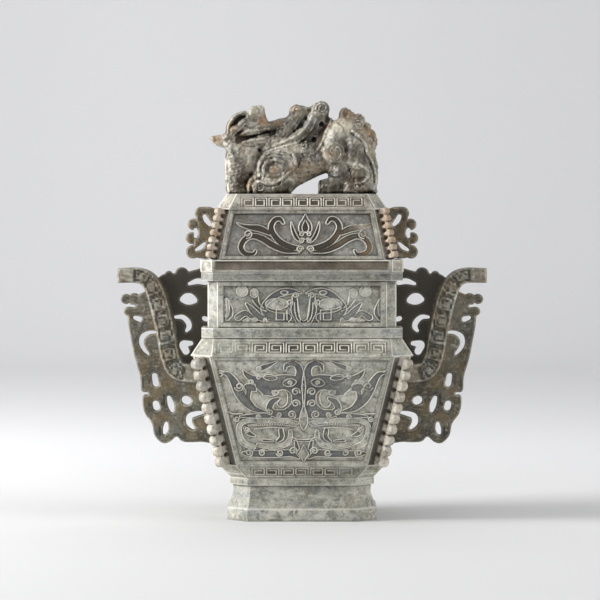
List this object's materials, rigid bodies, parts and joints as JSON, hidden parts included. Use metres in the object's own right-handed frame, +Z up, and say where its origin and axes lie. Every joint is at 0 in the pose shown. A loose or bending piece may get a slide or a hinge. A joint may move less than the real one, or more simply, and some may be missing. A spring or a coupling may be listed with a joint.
{
  "type": "lidded jade vase",
  "caption": "Lidded vase of carved grey-green jade with pierced handles, lobed corner flanges and a recumbent beast on the lid",
  "frame": {"origin": "the centre of the foot's underside, on the surface it stands on", "axes": "+Z is up, -Y is the front with the mask panel, and +X runs along the width towards the right handle"},
  "size_m": [0.282, 0.119, 0.3197],
  "materials": {
    "vase_jade": "polished grey-green jade with blue-grey and brown areas",
    "lid_jade": "polished grey-beige jade with brown areas"
  },
  "bodies": {
    "root": {"vase": "vase_jade", "lid": "lid_jade"}
  },
  "joints": []
}
